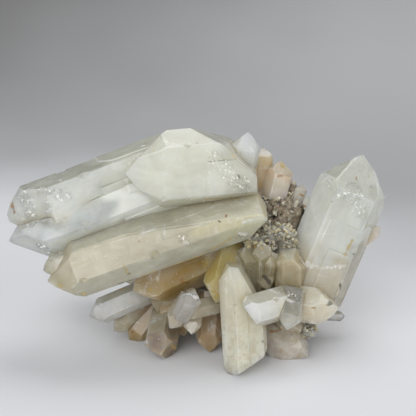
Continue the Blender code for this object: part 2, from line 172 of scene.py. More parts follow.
# Each crystal's body colour where it is milky, and how milky it is, from 0 clear to 1 opaque; then the same
# for its root end, and how far along the crystal that reaches.
Body = namedtuple("Body", "colour haze root_colour root_haze reach", defaults=(None, 0.7, 0.3))
BACK_BODY = Body((0.80, 0.78, 0.68), 0.62, (0.60, 0.53, 0.40))
DRUSE_BODY = Body((0.72, 0.68, 0.56), 0.60, (0.40, 0.34, 0.22), 0.8, 0.6)
CORE_BODY = Body((0.34, 0.28, 0.18), 0.9)
BODIES = {
    "great_left": ((0.77, 0.78, 0.75), 0.68, (0.78, 0.79, 0.72), 0.76, 0.45),
    "great_low": ((0.76, 0.80, 0.82), 0.56, (0.96, 0.96, 0.89), 0.95, 0.5),
    "upper_middle": ((0.83, 0.83, 0.72), 0.82, (0.76, 0.75, 0.64), 0.66, 0.35),
    "fore_left": ((0.60, 0.54, 0.38), 0.68, (0.66, 0.60, 0.38), 0.80, 0.35),
    "right_point": ((0.76, 0.77, 0.72), 0.72, (0.64, 0.58, 0.46), 0.72, 0.3),
    "front_post": ((0.80, 0.78, 0.64), 0.82, (0.80, 0.75, 0.58), 0.8, 0.4),
    "under_left": ((0.38, 0.23, 0.03), 0.82, (0.33, 0.20, 0.02), 0.88, 0.5),
    "peak_white": ((0.80, 0.83, 0.84), 0.66), "peak_amber": ((0.82, 0.56, 0.28), 0.70),
    "peak_peach": ((0.84, 0.58, 0.38), 0.74, (0.84, 0.70, 0.56), 0.8, 0.5),
    "peak_tiny": ((0.66, 0.58, 0.46), 0.70), "clear_small": ((0.92, 0.92, 0.90), 0.56),
    "fore_edge": ((0.66, 0.61, 0.46), 0.55), "right_spur": ((0.84, 0.68, 0.57), 0.80),
    "low_left": ((0.70, 0.62, 0.46), 0.62, (0.56, 0.40, 0.22), 0.7, 0.5),
    "low_left_foot": ((0.48, 0.31, 0.12), 0.78), "broad_low": ((0.42, 0.28, 0.12), 0.82),
    "broad_left": ((0.44, 0.34, 0.18), 0.80), "block": ((0.13, 0.07, 0.03), 0.92),
    "arm": ((0.62, 0.55, 0.44), 0.70), "knuckle": ((0.80, 0.77, 0.71), 0.50),
    "knuckle_left": ((0.64, 0.58, 0.47), 0.66), "knuckle_down": ((0.62, 0.56, 0.48), 0.66),
    "shoulder": ((0.52, 0.39, 0.07), 0.84), "brown_post": ((0.38, 0.22, 0.08), 0.80),
    "right_left": ((0.96, 0.95, 0.87), 0.82), "right_right": ((0.86, 0.79, 0.64), 0.80),
    "right_clear": ((0.82, 0.80, 0.73), 0.50), "low_right": ((0.68, 0.61, 0.55), 0.70),
    "low_right_back": ((0.58, 0.50, 0.41), 0.75), "sliver": ((0.66, 0.66, 0.62), 0.45),
    "dome": ((0.36, 0.28, 0.14), 0.88),
    "druse_grey": ((0.74, 0.70, 0.58), 0.7, (0.24, 0.20, 0.10), 0.85, 0.86),
    "druse_low": ((0.34, 0.28, 0.16), 0.85),
    "druse_left": ((0.62, 0.56, 0.42), 0.7, (0.28, 0.23, 0.11), 0.85, 0.7),
    "druse_middle": ((0.76, 0.72, 0.60), 0.7, (0.22, 0.18, 0.08), 0.85, 0.86),
    "druse_right": ((0.60, 0.54, 0.38), 0.7, (0.28, 0.22, 0.09), 0.85, 0.75),
    "druse_yellow": ((0.72, 0.66, 0.50), 0.76),
}
# Faces painted lighter or darker than the rest of their crystal, partly their own tint and partly painted
# light and shade for how each face is lit; the under face of great_low is painted lighter in its shade:
# crystal and face.
FACE_TINTS_AND_SHADE = {
    ("fore_left", 1): ((0.68, 0.59, 0.38), 0.70, (0.74, 0.63, 0.38), 0.78, 0.4),
    ("fore_left", 5): ((0.66, 0.63, 0.50), 0.62, (0.72, 0.70, 0.52), 0.7, 0.3),
    ("right_point", 1): ((0.76, 0.76, 0.70), 0.66, (0.46, 0.41, 0.30), 0.66, 0.42),
    ("great_low", 5): ((0.82, 0.85, 0.85), 0.62, (0.90, 0.91, 0.86), 0.82, 0.45),
}

# Small crystals grown parallel to a large one, as a mosaic on one of its faces: crystal, face, from and to
# along its length, how far across the face, number, half width and how far they stand out, in mm.
Mosaic = namedtuple("Mosaic", "crystal face start end number width rise")
MOSAICS = table(
    Mosaic,
    ("great_left", 0, 0.74, 0.90, 12, 0.8, 0.15), ("great_left", 1, 0.66, 0.88, 5, 0.7, 0.15),
    ("great_left", 5, 0.72, 0.88, 6, 0.8, 0.15), ("great_low", 0, 0.72, 0.90, 5, 0.7, 0.15),
    ("right_point", 0, 0.64, 0.84, 12, 0.8, 0.15), ("right_point", 1, 0.64, 0.84, 7, 0.8, 0.15),
    ("back_left", 3, 0.4, 0.8, 8, 1.1, 0.25), ("right_point", 3, 0.4, 0.8, 8, 1.1, 0.25),
)

# The photograph's view, and colour marks placed by where they show in it: across and down from its top left
# in pixels for both ends of the mark, then its half width in mm.
VIEW_WIDTH = 416
VIEW_TARGET = Vector((4.33, -9.34, 56.6)) * MM
VIEW_DISTANCE = 0.462
VIEW_LIFT = math.radians(20)
VIEW_LENS, SENSOR = 100, 36
MARKS = {
    "rust": (
        (12, 205, 14, 212, 1.6), (359, 171, 362, 171, 0.5), (356, 180, 357, 177, 0.7),
        (369, 176, 370, 179, 0.6), (370, 187, 372, 187, 0.5), (197, 143, 197, 143, 0.6),
        (139, 241, 139, 242, 0.6), (260, 179, 268, 169, 0.5), (181, 281, 190, 283, 1.2),
        (118, 291, 124, 288, 1.2), (122, 286, 139, 279, 0.7), (119, 338, 126, 337, 1.6),
        (131, 333, 135, 330, 0.9), (206, 201, 213, 203, 0.8), (226, 217, 226, 215, 0.9),
        (202, 353, 214, 352, 0.7), (301, 316, 314, 308, 1.4), (272, 332, 280, 330, 1.2),
        (298, 208, 304, 206, 1.8), (278, 176, 283, 176, 0.8), (300, 194, 303, 196, 1.0),
    ),
    "ochre": (
        (20, 189, 97, 151, 0.5), (170, 130, 190, 127, 0.7), (190, 127, 208, 129, 0.7),
        (140, 156, 154, 151, 0.6), (140, 276, 200, 256, 0.7), (200, 256, 232, 238, 0.8),
        (124, 266, 128, 273, 1.0), (229, 150, 240, 163, 0.7), (150, 290, 196, 279, 1.3),
        (205, 199, 238, 198, 1.3), (276, 284, 279, 252, 1.6), (330, 165, 362, 157, 0.6),
        (283, 165, 291, 162, 2.6), (250, 246, 262, 248, 1.2), (60, 285, 84, 294, 1.6),
        (205, 262, 216, 296, 2.2), (172, 345, 176, 349, 1.2), (345, 255, 352, 240, 1.2),
    ),
    "frost": (
        (133, 196, 203, 197, 1.6), (126, 180, 133, 194, 1.0), (97, 148, 116, 145, 1.2),
        (142, 146, 148, 145, 1.0), (66, 194, 69, 197, 0.9), (59, 180, 62, 181, 0.7), (26, 201, 36, 200, 0.9),
        (22, 219, 38, 221, 1.0), (28, 189, 33, 188, 0.8), (303, 262, 318, 268, 1.6),
        (318, 268, 345, 266, 1.2), (95, 247, 150, 231, 0.5), (150, 231, 200, 212, 0.6),
        (320, 184, 328, 177, 0.9), (183, 238, 186, 243, 1.0), (207, 151, 210, 151, 0.7),
        (194, 161, 196, 161, 0.7), (208, 171, 210, 173, 0.9), (184, 294, 198, 298, 1.3),
        (240, 233, 268, 235, 1.6), (284, 182, 291, 192, 1.4), (270, 290, 292, 302, 1.4),
        (226, 276, 227, 352, 0.5), (252, 150, 254, 168, 1.4),
    ),
    # Painted shade: the dark marks are near-black spots put where crevices and refraction look dark.
    "dark_shade": (
        (330, 303, 330, 303, 2.0), (219, 221, 220, 222, 0.7), (264, 276, 270, 283, 1.4),
        (43, 259, 46, 260, 0.9), (128, 274, 130, 273, 0.7), (238, 175, 240, 178, 0.5),
        (340, 284, 340, 290, 0.8), (118, 284, 138, 278, 0.5),
    ),
    # Crackle zones are rough fractured patches; the white cells painted in them are painted glints, painted
    # highlights.
    "crackle": (
        (24, 196, 34, 218, 4.5), (40, 190, 66, 196, 3.0), (352, 186, 362, 212, 4.5),
        (330, 182, 342, 196, 3.0), (216, 160, 244, 186, 5.0), (104, 148, 144, 145, 1.8),
        (40, 246, 56, 252, 2.6), (240, 236, 268, 240, 2.5), (186, 292, 196, 298, 1.8),
        (282, 292, 300, 300, 2.6), (182, 238, 192, 246, 2.2), (300, 262, 340, 268, 1.2),
    ),
}


class Wire:
    """A node's output, used in plain arithmetic: each sign adds the Math node that works it out."""

    def __init__(self, graph, socket):
        self.graph, self.socket = graph, socket

    def math(self, operation, *values):
        return self.graph.node("ShaderNodeMath", {"operation": operation}, dict(enumerate(values)))

    def other(self, name):
        return Wire(self.graph, self.socket.node.outputs[name])

    def __add__(self, value):
        return self.math("ADD", self, value)

    def __sub__(self, value):
        return self.math("SUBTRACT", self, value)

    def __rsub__(self, value):
        return self.math("SUBTRACT", value, self)

    def __mul__(self, value):
        return self.math("MULTIPLY", self, value)

    __radd__, __rmul__ = __add__, __mul__

    def most(self, value):
        return self.math("MAXIMUM", self, value)

    def least(self, value):
        return self.math("MINIMUM", self, value)

    def rise(self, start, end, low=0.0, high=1.0):
        """Goes smoothly from low to high while this value goes from start to end."""
        values = {"Value": self, "From Min": start, "From Max": end, "To Min": low, "To Max": high}
        return self.graph.node("ShaderNodeMapRange", {"interpolation_type": "SMOOTHSTEP"}, values)


class Graph:
    """A node tree that is written one node at a time."""

    def __init__(self, tree):
        self.tree = tree
        tree.nodes.clear()

    def node(self, kind, settings=None, sockets=None, output=0):
        made = self.tree.nodes.new(kind)
        for name, value in (settings or {}).items():
            if name == "stops":
                ramp = made.color_ramp.elements
                while len(ramp) < len(value):
                    ramp.new(0.5)
                for stop, (place, colour) in zip(ramp, value):
                    stop.position, stop.color = place, (*colour, 1)
            else:
                setattr(made, name, value)
        shown = [socket for socket in made.inputs if socket.enabled]
        for key, value in (sockets or {}).items():
            socket = shown[key] if isinstance(key, int) else next(s for s in shown if s.name == key)
            if isinstance(value, Wire):
                self.tree.links.new(value.socket, socket)
            else:
                socket.default_value = value
        given = [socket for socket in made.outputs if socket.enabled]
        if not given:
            return None
        return Wire(self, given[output] if isinstance(output, int) else made.outputs[output])

    def vector(self, operation, *values, output=0):
        return self.node("ShaderNodeVectorMath", {"operation": operation}, dict(enumerate(values)), output)

    def blend(self, share, first, second):
        """A colour that goes from first to second as share goes from 0 to 1."""
        first, second = [(*c, 1) if isinstance(c, tuple) and len(c) == 3 else c for c in (first, second)]
        return self.node("ShaderNodeMix", {"data_type": "RGBA", "clamp_factor": True},
                         {"Factor": share, "A": first, "B": second})

    def attribute(self, name, output="Color"):
        return self.node("ShaderNodeAttribute", {"attribute_name": name}, output=output)

    def noise(self, place, scale, detail=3.0, roughness=0.55, distortion=0.0, stretch=None):
        if stretch:
            place = self.node("ShaderNodeMapping", {}, {"Vector": place, "Scale": stretch})
        return self.node("ShaderNodeTexNoise", {}, {"Vector": place, "Scale": scale, "Detail": detail,
                                                    "Roughness": roughness, "Distortion": distortion})


def clip(solid, point, normal):
    """Cuts away what lies beyond a plane and closes the cut with one flat face."""
    geometry = solid.verts[:] + solid.edges[:] + solid.faces[:]
    bmesh.ops.bisect_plane(solid, geom=geometry, plane_co=point, plane_no=normal, clear_outer=True)
    rim = [edge for edge in solid.edges if edge.is_boundary]
    if rim:
        bmesh.ops.edgeloop_fill(solid, edges=rim)


def crystal_axes(spec):
    """The crystal's long axis, and the directions that face the viewer and lie across the view."""
    long_axis = (Vector(spec.tip) - Vector(spec.root)).normalized()
    towards = Vector((0, -1, 0)) if abs(long_axis.y) < 0.9 else Vector((0, 0, 1))
    front = (towards - long_axis * towards.dot(long_axis)).normalized()
    return long_axis, front, long_axis.cross(front)


def prism_face(spec, number):
    """The outward direction of one prism face, and how far it is from the crystal's axis."""
    long_axis, front, side = crystal_axes(spec)
    angle = math.radians(spec.turn + 60 * number)
    outward = front * math.cos(angle) + side * math.sin(angle)
    return outward, math.hypot(spec.deep * math.cos(angle), spec.across * math.sin(angle))


def crystal_solid(spec, grow=0.0, layer=None):
    """A hexagonal prism with six terminal faces, or one growth layer that stands out on a prism face."""
    long_axis, front, side = crystal_axes(spec)
    tip, root = Vector(spec.tip), Vector(spec.root)
    if layer:
        root, tip = root.lerp(tip, 0.03 + 0.05 * layer.reach), root.lerp(tip, layer.reach)
    length = (tip - root).length
    frame_axes = Matrix((side, front, long_axis)).transposed().to_4x4()
    solid = bmesh.new()
    bmesh.ops.create_cube(solid, size=4 * length, matrix=Matrix.Translation((tip + root) / 2) @ frame_axes)
    clip(solid, root - long_axis * grow, -long_axis)
    slope = math.radians(TERMINAL_SLOPE)
    for number in range(PRISM_SIDES):
        outward, reach = prism_face(spec, number)
        if layer:
            step = (number - layer.face) % PRISM_SIDES
            if step == 0:
                reach += layer.rise
            elif step == layer.side % PRISM_SIDES:
                reach *= 1 - 2 * layer.bare
            elif step == -layer.side % PRISM_SIDES:
                reach += layer.rise * 0.3
            else:
                reach *= 0.8 + 0.1 * layer.reach
        clip(solid, root + outward * (reach + grow), outward)
        cap_normal = outward * math.cos(slope) + long_axis * math.sin(slope)
        set_back = tip - long_axis * spec.caps[number] * spec.across
        clip(solid, set_back + cap_normal * grow, cap_normal)
    short = 0.25 + 0.3 * layer.rise if layer else 0
    for point, direction in spec.breaks:
        normal = Vector(direction).normalized()
        clip(solid, Vector(point) + normal * (grow - short), normal)
    clip(solid, *FLOOR)
    return solid


def wear_edges(solid, depth, chance):
    """Takes each sharp edge off by a narrow flat that isn't quite even, as handling does."""
    bmesh.ops.recalc_face_normals(solid, faces=solid.faces)
    cuts = []
    for edge in solid.edges:
        if len(edge.link_faces) == 2 and edge.calc_face_angle(0) > math.radians(15):
            outward = (edge.link_faces[0].normal + edge.link_faces[1].normal).normalized()
            lean = (edge.verts[1].co - edge.verts[0].co).normalized() * chance.uniform(-0.012, 0.012)
            place = (edge.verts[0].co + edge.verts[1].co) / 2
            cuts.append((place - outward * depth * chance.uniform(0.5, 1.5), (outward + lean).normalized()))
    for place, outward in cuts:
        clip(solid, place, outward)


def edge_point(spec, number, along, outside):
    """A place a little outside the edge between two prism faces, part of the way from root to tip."""
    first, reach_first = prism_face(spec, number)
    second, reach_second = prism_face(spec, number + 1)
    mix = first.dot(second)
    on_first = (reach_first - mix * reach_second) / (1 - mix * mix)
    on_second = (reach_second - mix * reach_first) / (1 - mix * mix)
    on_axis = Vector(spec.root).lerp(Vector(spec.tip), along)
    return on_axis + (first * on_first + second * on_second) * (1 + outside)


def any_way(chance, reach=1):
    return Vector([chance.uniform(-reach, reach) for _ in range(3)])


def patch_crystals(patch, seed):
    """Small crystals that fan out from one patch of the root."""
    chance = random.Random(seed)
    made = []
    for number in range(patch.number):
        towards = (Vector(patch.towards).normalized() + any_way(chance) * 0.55).normalized()
        foot = Vector(patch.centre) + any_way(chance) * patch.spread
        length = patch.length * chance.uniform(0.7, 1.3)
        thick = patch.thick * chance.uniform(0.7, 1.3)
        root = foot - towards * length
        made.append(Crystal(f"druse_{seed}_{number}", tuple(foot + towards * length), tuple(root),
                            thick, thick, chance.uniform(0, 60)))
    return made


def mosaic_crystals(mosaic, parent, chance):
    """Small crystals parallel to their parent, whose outer faces stand a little proud of one of its faces."""
    long_axis = crystal_axes(parent)[0]
    outward, reach = prism_face(parent, mosaic.face)
    sideways = long_axis.cross(outward)
    made = []
    for number in range(mosaic.number):
        width = mosaic.width * chance.uniform(0.55, 1.3)
        along = chance.uniform(mosaic.start, mosaic.end)
        middle = Vector(parent.root).lerp(Vector(parent.tip), along)
        offset = chance.uniform(-0.42, 0.42) * min(parent.across, parent.deep)
        rise = mosaic.rise * chance.uniform(0.3, 1.0)
        centre = middle + outward * (reach + rise - width) + sideways * offset
        lean = any_way(chance, 0.012)
        foot = centre - (long_axis + lean) * width * chance.uniform(1.5, 5)
        made.append(Crystal(f"{parent.name}_mosaic", tuple(centre), tuple(foot), width, width,
                            parent.turn + chance.uniform(-1, 1)))
    return made


def lump(centre, size, roughness, fineness, seed, grow=0.0):
    """A rough rounded mass: a ball stretched to size, with noise on its surface."""
    solid = bmesh.new()
    bmesh.ops.create_icosphere(solid, subdivisions=fineness, radius=1)
    shift = Vector((seed * 7.3, seed * 3.1, seed * 5.7))
    for vert in solid.verts:
        direction = vert.co.normalized()
        place = Vector(a * b for a, b in zip(direction, size))
        rough = noise.fractal(place * 0.12 + shift, 0.8, 2.1, 4) * roughness
        vert.co = centre + place + direction * (rough + grow)
    clip(solid, *FLOOR)
    return solid


def splinter(place, size, chance):
    """An angular sliver, a stretched and turned octahedron, that leaves a faceted nick when cut away."""
    solid = bmesh.new()
    corners = [solid.verts.new(Vector(axis) * size * chance.uniform(0.6, 1.2))
               for axis in ((1, 0, 0), (0, 1, 0), (-1, 0, 0), (0, -1, 0), (0, 0, 1.7), (0, 0, -1.7))]
    for n in range(4):
        solid.faces.new((corners[n], corners[(n + 1) % 4], corners[4]))
        solid.faces.new((corners[(n + 1) % 4], corners[n], corners[5]))
    turn = Matrix.Rotation(chance.uniform(0, 6.3), 4, any_way(chance).normalized())
    bmesh.ops.transform(solid, matrix=Matrix.Translation(place) @ turn, verts=solid.verts)
    clip(solid, *FLOOR)
    return solid


def as_mesh(name, solid):
    mesh = bpy.data.meshes.new(name)
    solid.to_mesh(mesh)
    solid.free()
    return mesh


def placed(name, data):
    """A new object in the scene."""
    made = bpy.data.objects.new(name, data)
    bpy.context.scene.collection.objects.link(made)
    return made


def applied(target, step):
    """The plain mesh that a modifier makes of an object; the modifier is then taken off."""
    mesh = bpy.data.meshes.new_from_object(target.evaluated_get(bpy.context.evaluated_depsgraph_get()))
    target.modifiers.remove(step)
    return mesh


def add_object(name, solid, crystal_number=0):
    """Puts a solid modelled in millimetres into the scene in metres, its faces marked with its crystal."""
    bmesh.ops.triangulate(solid, faces=solid.faces)
    bmesh.ops.recalc_face_normals(solid, faces=solid.faces)
    bmesh.ops.transform(solid, matrix=Matrix.Scale(MM, 4) @ Matrix.Translation(-CENTRE), verts=solid.verts)
    mesh = as_mesh(name, solid)
    mark = mesh.attributes.new("crystal", "INT", "FACE")
    mark.data.foreach_set("value", [crystal_number] * len(mesh.polygons))
    return placed(name, mesh)


def combine(target, others, operation):
    """Joins the others to target, or cuts them from it, with one exact Boolean, and removes them."""
    group = bpy.data.collections.new(f"{target.name}_{operation.lower()}")
    for other in others:
        group.objects.link(other)
    step = target.modifiers.new(operation.title(), "BOOLEAN")
    step.solver, step.operation = "EXACT", operation
    step.operand_type, step.collection = "COLLECTION", group
    step.use_self = False
    target.data = applied(target, step)
    for other in others:
        bpy.data.objects.remove(other)
    bpy.data.collections.remove(group)


def whole_crystal(spec, number, chance):
    """One crystal with worn edges, its growth layers and mosaic added and its chips taken off."""
    size = min(spec.across, spec.deep)
    body = crystal_solid(spec)
    wear_edges(body, 0.025 * size ** 0.7, chance)
    made = add_object(spec.name, body, number)
    additions = []
    for layer in LAYERS:
        if layer.crystal == spec.name:
            step = crystal_solid(spec, 0, layer)
            wear_edges(step, 0.06, chance)
            additions.append(add_object(f"{spec.name}_layer", step, number))
    for mosaic in MOSAICS:
        if mosaic.crystal == spec.name:
            additions += [add_object("mosaic", crystal_solid(little), number)
                          for little in mosaic_crystals(mosaic, spec, chance)]
    if additions:
        combine(made, additions, "UNION")
    flakes = []
    for chip_number, chip in enumerate(CHIPS):
        if chip.crystal == spec.name:
            place = edge_point(spec, chip.face, chip.along, 0.1)
            flake = lump(place, Vector((chip.size,) * 3), 1.2, 1, chip_number)
            flakes.append(add_object("flake", flake, number))
    if spec in LARGE or spec in SMALL:
        for _ in range(14 if spec in LARGE else 4):
            chip_size = (1.1 if spec in LARGE else 0.6) * chance.uniform(0.5, 1.4)
            place = edge_point(spec, chance.randrange(6), chance.uniform(0.3, 0.85), 0.5 * chip_size / size)
            flakes.append(add_object("flake", splinter(place, chip_size, chance), number))
    if flakes:
        combine(made, flakes, "DIFFERENCE")
    return made


def keep_main_body(target, shortest=0.00001):
    """Leaves only the largest connected body of the mesh, in triangles and without slivers."""
    solid = bmesh.new()
    solid.from_mesh(target.data)
    bmesh.ops.triangulate(solid, faces=solid.faces)
    bmesh.ops.dissolve_degenerate(solid, edges=solid.edges, dist=shortest)
    bmesh.ops.triangulate(solid, faces=solid.faces)
    waiting, bodies = set(solid.verts), []
    while waiting:
        start = waiting.pop()
        body, to_visit = {start}, [start]
        while to_visit:
            for edge in to_visit.pop().link_edges:
                for other in edge.verts:
                    if other in waiting:
                        waiting.discard(other)
                        body.add(other)
                        to_visit.append(other)
        bodies.append(body)
    bodies.sort(key=len)
    for body in bodies[:-1]:
        bmesh.ops.delete(solid, geom=list(body), context="VERTS")
    bmesh.ops.recalc_face_normals(solid, faces=solid.faces)
    solid.to_mesh(target.data)
    solid.free()


def smooth(value, start, end):
    share = min(max((value - start) / (end - start), 0), 1)
    return share * share * (3 - 2 * share)


def paint_growth(target, specs):
    """Gives each face its crystal's colour and haze, and a map round and along that crystal, in cm; some
    faces take their own tint with painted light and shade, and faces that look upward are painted greyer and
    darker, painted shade.
    """
    mesh = target.data
    mesh.uv_layers.new(name="growth")
    mesh.attributes.new("stone", "FLOAT_COLOR", "CORNER")
    marks, growth, stone = (mesh.attributes[name].data for name in ("crystal", "growth", "stone"))
    axes = {0: (CORE_CENTRE, Vector((0, 0, 1)), 40, CORE_BODY, ())}
    for number, spec in enumerate(specs, 1):
        body = BODIES.get(spec.name, DRUSE_BODY if spec.name.startswith("druse") else BACK_BODY)
        sides = [(prism_face(spec, n)[0], Body(*FACE_TINTS_AND_SHADE[spec.name, n])) for n in range(PRISM_SIDES)
                 if (spec.name, n) in FACE_TINTS_AND_SHADE]
        root, axis = Vector(spec.root), crystal_axes(spec)[0]
        axes[number] = (root, axis, (Vector(spec.tip) - root).length, Body(*body), sides)
    for face in mesh.polygons:
        number = marks[face.index].value
        root, axis, length, body, sides = axes[number]
        for outward, face_tint_and_shade in sides:
            if face.normal.dot(outward) > 0.95:
                body = face_tint_and_shade
        # Painted shade: faces that look upward are painted greyer and darker, against the light from above,
        # and made a little clearer.
        upward = smooth(face.normal.z, 0.62, 0.88)
        across = axis.cross(face.normal)
        across = across.normalized() if across.length > 0.05 else axis.orthogonal().normalized()
        shift = 7.1 * number + 1.7 * round(face.normal.x * 3) + 0.9 * round(face.normal.z * 3)
        for corner in face.loop_indices:
            place = mesh.vertices[mesh.loops[corner].vertex_index].co / MM + CENTRE - root
            along = place.dot(axis)
            growth[corner].vector = (0.1 * place.dot(across) + shift, 0.1 * along)
            colour, haze = Vector(body.colour), body.haze - 0.1 * upward
            if body.root_colour:
                ragged = 0.12 * noise.noise(place * 0.16)
                share = smooth(along / length + ragged, body.reach - 0.07, body.reach + 0.07)
                colour = Vector(body.root_colour).lerp(colour, share)
                haze = body.root_haze + (haze - body.root_haze) * share
            colour = colour.lerp(Vector((0.50, 0.50, 0.41)), 0.72 * upward)
            stone[corner].color = (*colour, haze)


def photo_ray(pixel):
    """Where the camera stands, and the direction in which it sees a pixel of the photograph."""
    ahead = Vector((0, math.cos(VIEW_LIFT), -math.sin(VIEW_LIFT)))
    up = Vector((0, math.sin(VIEW_LIFT), math.cos(VIEW_LIFT)))
    half = SENSOR / 2 / VIEW_LENS
    across = (pixel[0] - VIEW_WIDTH / 2) / (VIEW_WIDTH / 2) * half
    upward = (VIEW_WIDTH / 2 - pixel[1]) / (VIEW_WIDTH / 2) * half
    return VIEW_TARGET - ahead * VIEW_DISTANCE, (ahead + Vector((across, 0, 0)) + up * upward).normalized()


def mark_line(pixels, surface_tree):
    """The two ends in space of a colour mark, where the camera sees them on the crystals."""
    ends = []
    for pixel in pixels:
        start, direction = photo_ray(pixel)
        hit = surface_tree.ray_cast(start, direction)[0]
        if hit is not None:
            ends.append(hit)
    return (ends[0], ends[-1]) if ends else None


def off_line(places, line):
    """How far each place, a row of an array, is from the nearest point of a line between two ends."""
    start, run = np.array(line[0]), np.array(line[1] - line[0])
    from_start = places - start
    share = np.clip(from_start @ run / max(run @ run, 1e-12), 0, 1)
    return np.linalg.norm(from_start - share[:, None] * run, axis=1)


def refine(solid, lines, finest):
    """Halves the edges that are longer than finest, in metres, or with lines those near a line."""
    edges = list(solid.edges)
    ends = np.array([[*edge.verts[0].co, *edge.verts[1].co] for edge in edges])
    lengths = np.linalg.norm(ends[:, :3] - ends[:, 3:], axis=1)
    middles = (ends[:, :3] + ends[:, 3:]) / 2
    chosen = np.zeros(len(edges), bool)
    if lines:
        for _, line, width in lines:
            least = max(finest, width * 0.4)
            chosen |= (lengths > least) & (off_line(middles, line) < width * 1.8 + lengths * 0.6)
    else:
        chosen = lengths > finest
    bmesh.ops.subdivide_edges(solid, edges=[edge for edge, cut in zip(edges, chosen) if cut], cuts=1)
    bmesh.ops.triangulate(solid, faces=[face for face in solid.faces if len(face.verts) > 3])


def edge_places(solid, joints):
    """Places half a millimetre apart along the crystals' sharp edges, or the joints between crystals."""
    marks = solid.faces.layers.int["crystal"]
    places = []
    for edge in solid.edges:
        if len(edge.link_faces) == 2 and edge.calc_face_angle(0) > SHARP_EDGE:
            one_crystal = edge.link_faces[0][marks] == edge.link_faces[1][marks]
            if one_crystal != joints and edge.is_convex != joints:
                first, second = (vert.co for vert in edge.verts)
                steps = int((second - first).length / 0.0005) + 1
                places += [first.lerp(second, (n + 0.5) / steps) for n in range(steps)]
    tree = KDTree(len(places))
    for n, place in enumerate(places):
        tree.insert(place, n)
    tree.balance()
    return tree


def paint_films(target):
    """Refines the mesh and stores films of rust, ochre and frost, the painted shade spots, then crackle, rims
    and joints.
    """
    solid = bmesh.new()
    solid.from_mesh(target.data)
    tree = BVHTree.FromBMesh(solid)
    rims, joints = edge_places(solid, False), edge_places(solid, True)
    lines = []
    for channel, marks in enumerate(MARKS.values()):
        for *pixels, width in marks:
            line = mark_line((pixels[:2], pixels[2:]), tree)
            if line:
                lines.append((channel, line, width * MM))
    for finest in FINEST_ANYWHERE:
        refine(solid, None, finest)
    for finest in FINEST_BY_MARKS:
        refine(solid, lines, finest)
    solid.to_mesh(target.data)
    solid.free()
    mesh = target.data
    places = np.empty(len(mesh.vertices) * 3)
    mesh.vertices.foreach_get("co", places)
    places = places.reshape(-1, 3)
    shares = np.zeros((len(places), 5))
    for channel, line, width in lines:
        distance = off_line(places, line) / (width * 0.8)
        near = np.nonzero(distance < 2.0)[0]
        ragged = np.array([noise.noise(Vector(places[n]) * 700) for n in near]) * 0.5
        share = np.clip((1.4 - distance[near] - ragged) / 1.1, 0, 1)
        shares[near, channel] = np.maximum(shares[near, channel], share)
    near_rim, near_joint = [
        np.exp(-np.array([tree.find(place)[2] for place in places]) / EDGE_FADE) for tree in (rims, joints)]
    film = mesh.attributes.new("film", "FLOAT_COLOR", "POINT")
    film.data.foreach_set("color", shares[:, :4].ravel())
    wear = np.stack((shares[:, 4], near_rim, near_joint, np.ones(len(places))), 1)
    worn = mesh.attributes.new("wear", "FLOAT_COLOR", "POINT")
    worn.data.foreach_set("color", wear.ravel())


def new_material(name):
    """A material, and the graph that its nodes are written in."""
    made = bpy.data.materials.new(name)
    made.use_nodes = True
    return made, Graph(made.node_tree)


def principled(graph, **values):
    sockets = {name.replace("_", " "): value for name, value in values.items()}
    return graph.node("ShaderNodeBsdfPrincipled", {}, sockets)


